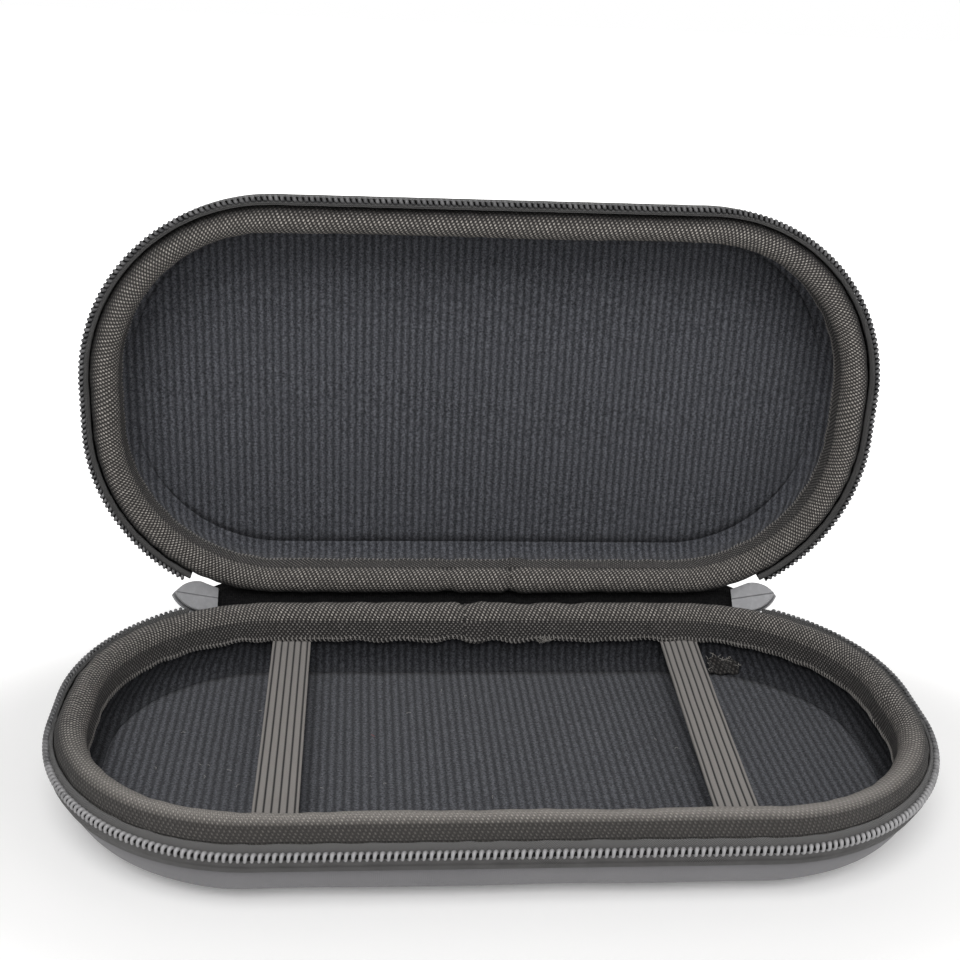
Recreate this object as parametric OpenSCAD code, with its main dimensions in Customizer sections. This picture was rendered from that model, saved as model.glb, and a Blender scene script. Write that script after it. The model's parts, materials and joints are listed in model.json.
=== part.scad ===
// Zipped hard case for a hand-held game console: two moulded foam shells with a ribbed
// fleece lining, bound rims, a coil zip with two sliders, and two elastic straps in the base.
// The base stands on its floor at the origin, and the lid stands open behind it.

/* [Case] */
// Length over the zip coils
case_l = 218; // [200:1:260]
// Width over the zip coils
case_w = 116; // [110:1:140]
// Height of each half, from its floor to the parting plane
half_h = 24.2; // [23:0.1:34]
// Radius of the four corners of the outline
corner_r = 52; // [48:0.5:54]
// Angle that the lid stands open from closed
open_angle = 89; // [0:0.5:180]

/* [Shell] */
// Thickness of the moulded foam wall
shell_t = 3.9; // [3:0.1:4.5]
// Thickness of the base's floor
base_floor_t = 4.2; // [3.6:0.1:5]
// Thickness of the lid's floor
lid_floor_t = 4.2; // [3.6:0.1:5]
// Radius between the floor and the wall, outside
edge_r = 12; // [11:0.5:15]

/* [Lining] */
// Thickness of the fleece lining
lining_t = 0.8; // [0.5:0.1:1.2]
// Radius between the floor and the wall, on the lining
lining_edge_r = 3.4; // [2.5:0.1:5]

/* [Binding] */
// Radius of the padded roll that binds the rim
binding_r = 3.8; // [3.7:0.05:4.2]
// Thickness of the binding tape
binding_t = 0.75; // [0.5:0.05:0.9]
// Distance from the zip's outer face to the binding's outer leg
binding_inset = 2.7; // [2.7:0.05:3.2]
// Depth of the binding's outer leg below the parting plane
binding_leg_h = 8; // [6:0.1:9]
// Depth of the binding's inner flap below the parting plane
binding_flap_h = 10; // [6.5:0.1:10]
// Gap that each half leaves to the parting plane
parting_gap = 0.15; // [0.15:0.05:0.5]

/* [Zip] */
// Length of one coil turn along the zip
coil_pitch = 1.5; // [1.2:0.05:2.5]
// Thickness of the coil, outwards
coil_t = 1.3; // [1:0.05:1.3]
// Width of the coil, down from the parting plane
coil_w = 2.5; // [2:0.05:3]
// Depth of the groove between two turns
coil_groove = 0.3; // [0.1:0.05:0.4]
// Thickness of the zip tape
tape_t = 0.6; // [0.4:0.05:0.7]
// Depth of the zip tape below the parting plane
tape_h = 11.8; // [10.8:0.1:13]
// Height of the tape's folded hem, below the binding's outer leg
tape_hem_h = 3.6; // [2:0.1:3.7]
// Depth that the open base's zip has slumped at the front
base_slump = 5.8; // [0:0.1:6]

/* [Sliders] */
// Length of a slider's plates
slider_l = 12.4; // [11:0.1:13]
// Width of a slider's plates at their widest
slider_w = 8.4; // [7.5:0.1:8.5]
// Width of a slider's plates at their flat end
slider_tail_w = 6; // [5:0.1:6.2]
// Thickness of each plate
slider_plate_t = 0.85; // [0.6:0.05:0.9]
// Gap between a slider's two plates
slider_gap = 1.7; // [1.5:0.05:1.8]
// Distance of the sliders' middles from the case's middle
slider_x = 80.3; // [80.2:0.1:84]
// Length of a pull tab from its pivot
pull_l = 24; // [18:1:32]
// Width of a pull tab
pull_w = 5; // [4:0.1:6]
// Thickness of a pull tab
pull_t = 1.2; // [0.8:0.1:1.4]
// Radius of a pull tab's pivot bar
pull_pin_r = 0.6; // [0.5:0.05:0.7]

/* [Hinge] */
// Distance from the zip's outer face to the two fold lines
fold_inset = 4.5; // [4.2:0.1:5.7]
// Thickness of the hinge cloth
hinge_t = 0.8; // [0.5:0.1:1.2]
// Length of the hinge cloth between the sliders
hinge_l = 146; // [120:1:146]
// Height of the hinge cloth on each wall, from the fold line
hinge_leg = 6; // [4:0.5:8]
// Length of the cloth's end tongues inside the sliders
tongue_grip = 2.4; // [2:0.1:3]
// Length of the end tongues outside the sliders, up to where they join the cloth
tongue_reach = 4; // [3.5:0.1:5]

/* [Straps] */
// Width of an elastic strap
strap_w = 10.6; // [8:0.1:14]
// Thickness of an elastic strap
strap_t = 1; // [0.8:0.05:1]
// Number of ribs along a strap, its two narrow edges apart
strap_ribs = 5; // [3:1:7]
// Width of the groove between two ribs
strap_groove_w = 0.35; // [0.2:0.05:0.5]
// Depth of the groove between two ribs, on each face
strap_groove_d = 0.25; // [0.1:0.05:0.3]
// Width of a strap's narrow edge rib
strap_edge_w = 0.7; // [0.4:0.05:1]
// Height of a strap's underside over the case's floor
strap_z = 13.1; // [11:0.1:13.1]
// Room between a strap's ends and the lining's wall
strap_end_gap = 0.45; // [0.4:0.05:0.6]
// Place of the left strap along the case
left_strap_x = -53; // [-56:0.5:-40]
// Place of the right strap's front end along the case
right_strap_front_x = 52.6; // [40:0.1:56]
// Place of the right strap's back end along the case
right_strap_back_x = 57.4; // [40:0.1:58]

/* [Frayed tape end] */
// Length of the frayed scrap of tape on the lining
scrap_l = 8.5; // [6:0.5:10]
// Width of the scrap
scrap_w = 4; // [3:0.5:6]
// Thickness of the scrap
scrap_t = 0.5; // [0.4:0.1:0.8]
// Height of the scrap's creases
scrap_crease = 0.5; // [0.3:0.1:0.8]
// Place of the scrap round the back corner, as an angle from the back
scrap_turn = 19; // [15:1:45]
// Angle that the scrap leans at, from the floor
scrap_lean = 65; // [55:1:75]

/* [Hidden] */

$fn = 96;

// Clearance between two pieces that lie on each other
fit_gap = 0.1;
// Running clearance between pieces that turn
run_gap = 0.3;
// Lap that makes two solids of one piece join
lap = 0.2;
// Depth by which a straight side sinks below the arc that it meets, so that the two cross
bite = 0.004;

half_l = case_l / 2;
half_w = case_w / 2;

// The outline is an oblong whose corners are so round that its ends are nearly half circles.
corner_cx = half_l - corner_r;
corner_cy = half_w - corner_r;

// Insets of the layers from the zip's outer face
roll_inset = binding_inset + binding_r;
roll_z = half_h - parting_gap - binding_r;
rim_r = binding_r - binding_t - fit_gap;
shell_inset = roll_inset - rim_r;
lining_depth = shell_t + fit_gap;
lining_inset = shell_inset + lining_depth + lining_t;
flap_inset = roll_inset + binding_r - binding_t;
tape_inset = coil_t + fit_gap;

// The two fold lines of the hinge, one for each half, as they lie when the case is closed
fold_y = half_w - fold_inset;
base_fold_z = roll_z;
lid_fold_z = 2 * half_h - roll_z;
half_turn = open_angle / 2;

// Where the sliders sit: on the corner arcs of the outline
slider_path_r = corner_r - coil_t / 2;
slider_turn = asin((slider_x - corner_cx) / slider_path_r);
slider_end_turn = asin((slider_x + slider_l / 2 * cos(slider_turn) - corner_cx) / slider_path_r);
zip_end_gap = 0.6;
zip_start = 90 - slider_end_turn - zip_end_gap / slider_path_r * 180 / PI;

// The slider's bail, its side flanges, its post and the crease of its inner plate
bail_l = 8;
bail_h = 2.6;
bail_t = 0.8;
bail_w = 1.8;
flange_t = 0.7;
flange_h = 0.5;
flange_l = 3.6;
flange_start = 0.4;
post_r = 1.1;
post_inset = 3.4;
crease_w = 0.25;
shoulder_part = 0.42;

// The pull's window, and the height of its pivot bar over the slider's middle
pull_head = 2.4;
pull_window = 3.2;
pull_pivot = slider_gap / 2 + slider_plate_t + (bail_h - bail_t) / 2;

// Half the straps' length, and the width of one of their ribs
strap_wall = half_w - lining_inset - strap_end_gap;
strap_rib_w = (strap_w - 2 * strap_edge_w - (strap_ribs + 1) * strap_groove_w) / strap_ribs;

// One tooth of the coil takes two stations of the sweep, a full one and a slim one.
function stations(len) = 2 * max(1, round(len / coil_pitch));
function arc_rad(deg) = deg * PI / 180;

// Points of the zip's path with their outward direction: [x, y, nx, ny]
function arc_path(cx, cy, from, to) =
    let (n = stations(corner_r * arc_rad(abs(to - from))))
    [for (i = [0 : n - 1])
        let (a = from + (to - from) * i / n)
        [cx + corner_r * cos(a), cy + corner_r * sin(a), cos(a), sin(a)]];
function line_path(start, end, out) =
    let (n = stations(norm(end - start)))
    [for (i = [0 : n - 1])
        let (p = start + (end - start) * i / n)
        [p.x, p.y, out.x, out.y]];
function zip_path() = concat(
    arc_path(-corner_cx, corner_cy, 180 - zip_start, 180),
    line_path([-half_l, corner_cy], [-half_l, -corner_cy], [-1, 0]),
    arc_path(-corner_cx, -corner_cy, 180, 270),
    line_path([-corner_cx, -half_w], [corner_cx, -half_w], [0, -1]),
    arc_path(corner_cx, -corner_cy, -90, 0),
    line_path([half_l, -corner_cy], [half_l, corner_cy], [1, 0]),
    arc_path(corner_cx, corner_cy, 0, zip_start)
);

// Sweep of a cross-section round the outline
// A section is drawn with its inset from the zip's outer face as x and its height as y.
// Where it reaches further than the middle of its arc or straight, it is trimmed there.
module trimmed_section(reach) {
    intersection() {
        children();
        translate([0, -lap])
            square([reach, half_h + 2 * lap]);
    }
}

module corner_sweep(angle) {
    translate([corner_cx, corner_cy, 0])
        rotate_extrude(angle = angle)
            translate([corner_r, 0])
                mirror([1, 0])
                    trimmed_section(corner_r)
                        children();
}

module long_straight() {
    translate([-corner_cx, -half_w, 0])
        rotate([90, 0, 90])
            linear_extrude(2 * corner_cx)
                trimmed_section(half_w)
                    children();
}

module end_straight() {
    translate([half_l, -corner_cy, 0])
        rotate([90, 0, 180])
            linear_extrude(2 * corner_cy)
                trimmed_section(corner_r)
                    children();
}

module ring(back_angle) {
    union() {
        for (side = [0, 1])
            mirror([side, 0, 0]) {
                corner_sweep(back_angle) children();
                mirror([0, 1, 0])
                    corner_sweep(90) children();
                end_straight() children();
            }
        long_straight() children();
        if (back_angle == 90)
            mirror([0, 1, 0])
                long_straight() children();
    }
}

// Half of a pan in section: its wall's inset, its floor's height and the radius between them
module pan_section(inset, floor_z, r, top) {
    centre = [inset + r, floor_z + r - bite];
    intersection() {
        union() {
            polygon([
                [centre.x, floor_z],
                [inset + bite, centre.y],
                [inset + bite, top],
                [half_w, top],
                [half_w, floor_z]
            ]);
            translate(centre)
                circle(r);
        }
        translate([0, floor_z])
            square([half_w, top - floor_z]);
    }
}

// Foam shell: floor and side swept round the outline, with a rounded rim
module half_shell(floor_t) {
    ring(90) {
        difference() {
            pan_section(shell_inset, 0, edge_r, roll_z);
            pan_section(shell_inset + shell_t, floor_t, lining_edge_r + lining_t + fit_gap, roll_z + lap);
        }
        intersection() {
            translate([roll_inset, roll_z])
                circle(rim_r);
            translate([shell_inset, roll_z])
                square([shell_t, rim_r]);
        }
    }
}

// Fleece lining: lies on the shell's inner face up to the roll of the rim
module half_lining(floor_t) {
    under = floor_t + fit_gap;
    ring(90)
        difference() {
            pan_section(shell_inset + lining_depth, under, lining_edge_r + lining_t, roll_z);
            pan_section(lining_inset, under + lining_t, lining_edge_r, roll_z + lap);
        }
}

// Woven tape folded over the rim: outer leg, padded roll and inner flap
module half_binding() {
    ring(90) {
        intersection() {
            translate([roll_inset, roll_z])
                difference() {
                    circle(binding_r);
                    circle(binding_r - binding_t);
                }
            translate([binding_inset, roll_z])
                square([2 * binding_r, binding_r]);
        }
        translate([binding_inset, half_h - binding_leg_h])
            square([binding_t, roll_z - half_h + binding_leg_h]);
        translate([flap_inset, half_h - binding_flap_h])
            square([binding_t, roll_z - half_h + binding_flap_h]);
    }
}

// Zip tape: stands behind the coil, with a folded hem sewn to the shell under the binding
// Its top edge drops with the coil towards the front.
module half_tape(slump) {
    top = half_h - 2 * parting_gap;
    difference() {
        ring(zip_start)
            polygon([
                [tape_inset, half_h - tape_h],
                [shell_inset - fit_gap, half_h - tape_h],
                [shell_inset - fit_gap, half_h - tape_h + tape_hem_h],
                [tape_inset + tape_t, half_h - tape_h + tape_hem_h],
                [tape_inset + tape_t, top],
                [tape_inset, top]
            ]);
        if (slump > 0)
            translate([-half_l, half_w, top])
                rotate([atan(slump / case_w), 0, 0])
                    translate([0, -2 * case_w, 0])
                        cube([case_l, 3 * case_w, half_h]);
    }
}

// Zip coil: a toothed band swept along the path, full at each turn and slim between them
module half_coil(slump) {
    path = zip_path();
    n = len(path);
    section_of = function(i) let (g = (i % 2 == 0) ? 0 : coil_groove) [
        [-g, half_h - parting_gap - g],
        [g - coil_t, half_h - parting_gap - g],
        [g - coil_t, half_h - parting_gap - coil_w + g],
        [-g, half_h - parting_gap - coil_w + g]
    ];
    points = [
        for (i = [0 : n - 1])
            let (drop = slump * (half_w - path[i][1]) / case_w)
            for (s = section_of(i))
                [path[i][0] + s[0] * path[i][2], path[i][1] + s[0] * path[i][3], s[1] - drop]
    ];
    sides = [
        for (i = [0 : n - 2])
            for (k = [0 : 3])
                let (a = 4 * i + k, b = 4 * i + (k + 1) % 4)
                each [[a, b, b + 4], [a, b + 4, a + 4]]
    ];
    first_cap = [[0, 2, 1], [0, 3, 2]];
    last = 4 * (n - 1);
    last_cap = [[last, last + 1, last + 2], [last, last + 2, last + 3]];
    polyhedron(points, concat(sides, first_cap, last_cap));
}

// Places a piece of the closed lid where the lid stands open
module fold(z, angle) {
    translate([0, fold_y, z])
        rotate([-angle, 0, 0])
            translate([0, -fold_y, -z])
                children();
}

module on_link() {
    fold(base_fold_z, half_turn)
        children();
}

module on_lid() {
    on_link()
        fold(lid_fold_z, half_turn)
            translate([0, 0, 2 * half_h])
                mirror([0, 0, 1])
                    children();
}

// Base
module base_shell() {
    color("#3b3c40")
        half_shell(base_floor_t);
}

module base_lining() {
    color("#2b2d33")
        half_lining(base_floor_t);
}

module base_binding() {
    color("#4a4642")
        half_binding();
}

module base_zip_tape() {
    color("#242326")
        half_tape(base_slump);
}

module base_zip_coil() {
    color("#5a5a5c")
        half_coil(base_slump);
}

// Lid
module lid_shell() {
    color("#3b3c40")
        on_lid()
            half_shell(lid_floor_t);
}

module lid_lining() {
    color("#2b2d33")
        on_lid()
            half_lining(lid_floor_t);
}

module lid_binding() {
    color("#4a4642")
        on_lid()
            half_binding();
}

module lid_zip_tape() {
    color("#242326")
        on_lid()
            half_tape(0);
}

module lid_zip_coil() {
    color("#5a5a5c")
        on_lid()
            half_coil(0);
}

// Hinge cloth: runs up the base's wall, turns out under the lid's roll and lies along its wall
module hinge_strip() {
    wall_y = half_w - binding_inset + fit_gap;
    drop = binding_r + fit_gap + hinge_t / 2;
    fold_l = lid_fold_z - base_fold_z;
    lid_roll = [
        fold_y + fold_l * sin(half_turn) + (roll_inset - fold_inset) * sin(open_angle - 90),
        base_fold_z + fold_l * cos(half_turn) + (roll_inset - fold_inset) * cos(open_angle - 90)
    ];
    out = [sin(open_angle), cos(open_angle)];
    under = [cos(open_angle), -sin(open_angle)] * drop;
    line = [
        [wall_y + hinge_t / 2, base_fold_z - hinge_leg],
        [wall_y + hinge_t / 2, base_fold_z - hinge_t],
        lid_roll + under + out * (hinge_t * 2),
        lid_roll + under + out * hinge_leg
    ];
    color("#1d1c1e")
        union() {
            translate([-hinge_l / 2, 0, 0])
                rotate([90, 0, 90])
                    linear_extrude(hinge_l)
                        polygon(concat(
                            [for (i = [0 : 3]) line[i] + mitre(line, i) * hinge_t / 2],
                            [for (i = [3 : -1 : 0]) line[i] - mitre(line, i) * hinge_t / 2]
                        ));
            on_link()
                for (side = [0, 1])
                    mirror([side, 0, 0])
                        at_slider()
                            hinge_tongue();
        }
}

// Tongue at each end of the hinge cloth: runs on between the plates of the slider's flat end
module hinge_tongue() {
    tongue_w = slider_tail_w - 2 * (flange_t + run_gap);
    tongue_t = slider_gap - 2 * run_gap;
    translate([-slider_l / 2 - tongue_reach, -tongue_w / 2, -tongue_t / 2])
        cube([tongue_reach + tongue_grip, tongue_w, tongue_t]);
}

// Sideways direction at a point of a bent line, lengthened at a bend
function side_of(run) = [-run.y, run.x] / norm(run);
function mitre(line, i) =
    let (
        last = len(line) - 1,
        before = side_of(line[max(i, 1)] - line[max(i, 1) - 1]),
        after = side_of(line[min(i, last - 1) + 1] - line[min(i, last - 1)])
    )
    (before + after) / (1 + before * after);

// Outline of a slider's plate, with its flat end at low x and its nose at high x
module slider_outline() {
    shoulder = slider_l * shoulder_part;
    nose_r = (pow(slider_l - shoulder, 2) + pow(slider_w / 2, 2)) / slider_w;
    union() {
        polygon([
            [-slider_l / 2, -slider_tail_w / 2],
            [shoulder - slider_l / 2, -slider_w / 2],
            [shoulder - slider_l / 2, slider_w / 2],
            [-slider_l / 2, slider_tail_w / 2]
        ]);
        intersection() {
            translate([shoulder - slider_l / 2, nose_r - slider_w / 2])
                circle(nose_r);
            translate([shoulder - slider_l / 2, slider_w / 2 - nose_r])
                circle(nose_r);
            translate([shoulder - slider_l / 2 - lap, -slider_w / 2])
                square([slider_l, slider_w]);
        }
    }
}

// Slider, with its inner plate down, its bail up, and its middle at the origin
module slider_body() {
    plate_z = slider_gap / 2;
    outer_top = plate_z + slider_plate_t;
    union() {
        // Inner and outer plates, the inner one with a crease along its middle
        difference() {
            translate([0, 0, -plate_z - slider_plate_t])
                linear_extrude(slider_plate_t)
                    slider_outline();
            translate([0, 0, -plate_z - slider_plate_t])
                rotate([45, 0, 0])
                    cube([2 * slider_l, crease_w, crease_w], center = true);
        }
        translate([0, 0, plate_z])
            linear_extrude(slider_plate_t)
                slider_outline();
        // Post between the two throats
        translate([slider_l / 2 - post_inset, 0, -plate_z - lap])
            cylinder(r = post_r, h = slider_gap + 2 * lap);
        // Side flanges that guide the coils at the flat end
        for (way = [0, 1])
            mirror([0, way, 0])
                for (level = [-plate_z - lap, plate_z - flange_h])
                    translate([flange_start - slider_l / 2, slider_tail_w / 2 - flange_t, level])
                        cube([flange_l, flange_t, flange_h + lap]);
        // Bail over the outer plate
        for (end = [-1, 1])
            translate([end * (bail_l - bail_t) / 2 - bail_t / 2, -bail_w / 2, outer_top - lap])
                cube([bail_t, bail_w, bail_h + lap]);
        translate([-bail_l / 2, -bail_w / 2, outer_top + bail_h - bail_t])
            cube([bail_l, bail_w, bail_t]);
    }
}

// Pull tab: an oblong with a window at its head, whose end bar passes under the bail
module pull_body() {
    union() {
        difference() {
            union() {
                translate([-pull_t / 2, -pull_w / 2, 0])
                    cube([pull_t, pull_w, pull_l - pull_w / 2]);
                translate([-pull_t / 2, 0, pull_l - pull_w / 2])
                    rotate([0, 90, 0])
                        cylinder(d = pull_w, h = pull_t);
            }
            translate([-pull_t, -bail_w / 2 - run_gap, -pull_pin_r])
                cube([2 * pull_t, bail_w + 2 * run_gap, pull_head + pull_window]);
        }
        translate([0, -pull_w / 2, 0])
            rotate([-90, 0, 0])
                cylinder(r = pull_pin_r, h = pull_w);
    }
}

// Puts a slider's piece on the right-hand corner of the closed case: nose outwards, bail out
module at_slider() {
    translate([corner_cx, corner_cy, half_h])
        rotate([0, 0, -slider_turn])
            translate([0, slider_path_r, 0])
                rotate([-90, 0, 0])
                    children();
}

module right_slider() {
    color("#8d8d90")
        on_link()
            at_slider()
                slider_body();
}

module left_slider() {
    color("#8d8d90")
        on_link()
            mirror([1, 0, 0])
                at_slider()
                    slider_body();
}

// The pulls hang on their bars, turned back from the sliders' outward direction.
module right_pull() {
    color("#6d6d70")
        on_link()
            at_slider()
                translate([0, 0, pull_pivot])
                    rotate([0, -slider_turn, 0])
                        pull_body();
}

module left_pull() {
    color("#6d6d70")
        on_link()
            mirror([1, 0, 0])
                at_slider()
                    translate([0, 0, pull_pivot])
                        rotate([0, -slider_turn, 0])
                            pull_body();
}

// Elastic straps: ribbed bands across the base, sewn in under the hem of the binding's flap
// Start and width of each rib across a strap
function strap_rib_list() = concat(
    [[-strap_w / 2, strap_edge_w]],
    [for (i = [0 : strap_ribs - 1])
        [-strap_w / 2 + strap_edge_w + strap_groove_w + i * (strap_rib_w + strap_groove_w),
         strap_rib_w]],
    [[strap_w / 2 - strap_edge_w, strap_edge_w]]
);

module strap_band(front_x, back_x, from, w, t) {
    linear_extrude(t)
        polygon([
            [front_x + from, -strap_wall],
            [front_x + from + w, -strap_wall],
            [back_x + from + w, strap_wall],
            [back_x + from, strap_wall]
        ]);
}

module strap(front_x, back_x) {
    translate([0, 0, strap_z])
        union() {
            translate([0, 0, strap_groove_d])
                strap_band(front_x, back_x, -strap_w / 2, strap_w, strap_t - 2 * strap_groove_d);
            for (rib = strap_rib_list())
                strap_band(front_x, back_x, rib[0], rib[1], strap_t);
        }
}

module left_strap() {
    color("#8a837c")
        strap(left_strap_x, left_strap_x);
}

module right_strap() {
    color("#8a837c")
        strap(right_strap_front_x, right_strap_back_x);
}

// Frayed scrap of tape: a creased leaf that stands on the lining and leans on its wall
module tape_scrap() {
    foot_r = corner_r - lining_inset - lining_edge_r + 2 * run_gap;
    floor_top = base_floor_t + fit_gap + lining_t;
    crease = [for (i = [0 : 4]) [i * scrap_l / 4, (i % 2) * scrap_crease]];
    color("#4a4642")
        translate([corner_cx, corner_cy, floor_top + run_gap])
            rotate([0, 0, -scrap_turn])
                translate([0, foot_r, 0])
                    rotate([scrap_lean, 0, 0])
                        translate([-scrap_l / 2, 0, 0])
                            rotate([90, 0, 0])
                                mirror([0, 0, 1])
                                    linear_extrude(scrap_w)
                                        polygon(concat(
                                            crease,
                                            [for (i = [4 : -1 : 0]) crease[i] + [0, scrap_t]]
                                        ));
}

base_shell();
base_lining();
base_binding();
base_zip_tape();
base_zip_coil();
lid_shell();
lid_lining();
lid_binding();
lid_zip_tape();
lid_zip_coil();
hinge_strip();
left_slider();
right_slider();
left_pull();
right_pull();
left_strap();
right_strap();
tape_scrap();
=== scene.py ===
"""Zipped hard case for a hand-held game console, open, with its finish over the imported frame."""

import json
import math

import bpy
import numpy as np
from mathutils import Matrix, Vector


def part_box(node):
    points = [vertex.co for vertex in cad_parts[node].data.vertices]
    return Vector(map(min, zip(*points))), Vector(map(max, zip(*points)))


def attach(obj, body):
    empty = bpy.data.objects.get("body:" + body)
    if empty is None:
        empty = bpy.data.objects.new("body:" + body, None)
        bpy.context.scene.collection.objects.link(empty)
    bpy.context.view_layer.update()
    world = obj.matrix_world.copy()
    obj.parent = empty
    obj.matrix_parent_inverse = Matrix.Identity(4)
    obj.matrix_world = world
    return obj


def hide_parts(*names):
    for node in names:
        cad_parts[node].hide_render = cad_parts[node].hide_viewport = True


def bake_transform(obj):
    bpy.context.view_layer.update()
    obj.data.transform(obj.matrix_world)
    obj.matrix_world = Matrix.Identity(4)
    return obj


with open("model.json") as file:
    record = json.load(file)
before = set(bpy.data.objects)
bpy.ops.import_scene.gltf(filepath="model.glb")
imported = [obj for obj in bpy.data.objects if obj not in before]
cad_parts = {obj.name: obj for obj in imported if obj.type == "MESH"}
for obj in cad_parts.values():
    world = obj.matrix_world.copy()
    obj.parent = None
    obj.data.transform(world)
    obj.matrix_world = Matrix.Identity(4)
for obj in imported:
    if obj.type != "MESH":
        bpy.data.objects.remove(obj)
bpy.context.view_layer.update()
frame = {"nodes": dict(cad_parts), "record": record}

# Units and driving sizes
# Sizes are in millimetres and meshes in metres. The frame gives what it can.
MM = 0.001
UP = 2


def box_mm(node):
    """Lowest and highest corner of a CAD node, in millimetres"""
    low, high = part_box(node)
    return np.array(low) / MM, np.array(high) / MM


JOINTS = {row["name"]: row for row in frame["record"]["behaviour"]["joints"]}
FOLD_Y, FOLD_Z = (value / MM for value in JOINTS["strip_fold"]["pos_m"][1:])
LID_FOLD_Y, LID_FOLD_Z = (value / MM for value in JOINTS["lid_fold"]["pos_m"][1:])
HALF_TURN = -math.radians(JOINTS["strip_fold"]["range_deg"][0])
OPEN = 2 * HALF_TURN

PARTING_GAP = 0.15
CORNER_R = 52.0
HALF_L = box_mm("base_zip_coil")[1][0]
HALF_W = -box_mm("base_zip_coil")[0][1]
HALF_H = box_mm("base_binding")[1][UP] + PARTING_GAP
CORNER_X, CORNER_Y = HALF_L - CORNER_R, HALF_W - CORNER_R
SHELL_INSET = HALF_L - box_mm("base_shell")[1][0]
BINDING_INSET = HALF_L - box_mm("base_binding")[1][0]
BINDING_R = HALF_H - PARTING_GAP - FOLD_Z
ROLL_INSET = BINDING_INSET + BINDING_R
ROLL_Z = FOLD_Z
LEG_Z = 16.2
FLAP_Z = box_mm("base_binding")[0][UP]
FLAP_INSET = ROLL_INSET + BINDING_R
EDGE_RUN, EDGE_RISE = 15.5, 13.5
LINING_T = 0.8
LINING_EDGE_R = 3.4
LINING_INSET = HALF_L - box_mm("base_lining")[1][0] + LINING_T
FLOOR_TOP = box_mm("base_lining")[0][UP] + LINING_T
RIB_PITCH = 2.1
COIL_PITCH = 1.5
COIL_T = 1.3
COIL_W = 2.5
SLUMP = HALF_H - PARTING_GAP - COIL_W - box_mm("base_zip_coil")[0][UP]


# The outline: distances round it start at the middle of the back and run towards -X.
QUARTER = math.pi / 2 * CORNER_R
LEGS = [CORNER_X, QUARTER, 2 * CORNER_Y, QUARTER, 2 * CORNER_X, QUARTER, 2 * CORNER_Y, QUARTER, CORNER_X]
KNOT_S = np.concatenate([[0], np.cumsum(LEGS)])
KNOT_X = CORNER_X * np.array([0, -1, -1, -1, -1, 1, 1, 1, 1, 0])
KNOT_Y = CORNER_Y * np.array([1, 1, 1, -1, -1, -1, -1, 1, 1, 1])
KNOT_TURN = math.pi / 2 * np.array([1, 1, 2, 2, 3, 3, 4, 4, 5, 5])
ROUND = KNOT_S[-1]


def on_route(s):
    """Corner centre, outward normal and running direction at distances s round the outline"""
    s = np.asarray(s, float)
    whole = np.where((s >= 0) & (s <= ROUND), s, np.mod(s, ROUND))
    turn = np.interp(whole, KNOT_S, KNOT_TURN)
    centre = np.stack([np.interp(whole, KNOT_S, KNOT_X), np.interp(whole, KNOT_S, KNOT_Y)], -1)
    out = np.stack([np.cos(turn), np.sin(turn)], -1)
    run = np.stack([-np.sin(turn), np.cos(turn)], -1)
    return centre, out, run


def on_section(s, inset, z):
    """Points at distances s round the outline, at an inset from the zip's outer face and a height"""
    s, inset, z = np.broadcast_arrays(np.asarray(s, float), inset, z)
    centre, out, _ = on_route(s)
    flat = centre + out * (CORNER_R - inset)[..., None]
    return np.concatenate([flat, z[..., None]], -1)


def in_base(points):
    return points


def in_lid(points):
    """Moves points of the lid's half, with its own floor at height 0, to where the lid stands open"""
    y = points[..., 1] - FOLD_Y
    z = 2 * HALF_H - points[..., UP] - (2 * HALF_H - FOLD_Z)
    cos, sin = math.cos(OPEN), math.sin(OPEN)
    return np.stack([points[..., 0], LID_FOLD_Y + y * cos + z * sin, LID_FOLD_Z - y * sin + z * cos], -1)


HALVES = {"base": in_base, "lid": in_lid}


def wobble(s, shortest, longest, seed, count=9):
    """Smooth random ripple round the outline, between about -1 and 1, with wavelengths in a range"""
    draw = np.random.default_rng(seed)
    total = np.zeros_like(np.asarray(s, float))
    for _ in range(count):
        waves = max(1, round(ROUND / draw.uniform(shortest, longest)))
        total = total + np.sin(2 * math.pi * waves * s / ROUND + draw.uniform(0, 2 * math.pi))
    return total / math.sqrt(count)


# Mesh building
def make_piece(name, parts, material, body, stands_for=()):
    """One object from several parts, each a pair of points in mm and faces, with cloth coordinates"""
    points = np.concatenate([np.asarray(part[0], float).reshape(-1, 3) for part in parts])
    faces, cloth, first = [], [], 0
    for part in parts:
        faces += [[first + index for index in face] for face in part[1]]
        cloth += list(part[2])
        first += len(np.asarray(part[0]).reshape(-1, 3))
    mesh = bpy.data.meshes.new(name)
    mesh.from_pydata((points * MM).tolist(), [], faces)
    layer = mesh.uv_layers.new(name="cloth")
    layer.uv.foreach_set("vector", np.concatenate(cloth).astype(np.float32).ravel())
    mesh.polygons.foreach_set("use_smooth", [True] * len(mesh.polygons))
    mesh.materials.append(material)
    mesh.update()
    mesh.validate()
    piece = bpy.data.objects.new(name, mesh)
    bpy.context.scene.collection.objects.link(piece)
    if body:
        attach(piece, body)
    if stands_for:
        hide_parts(*stands_for)
    return piece


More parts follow.
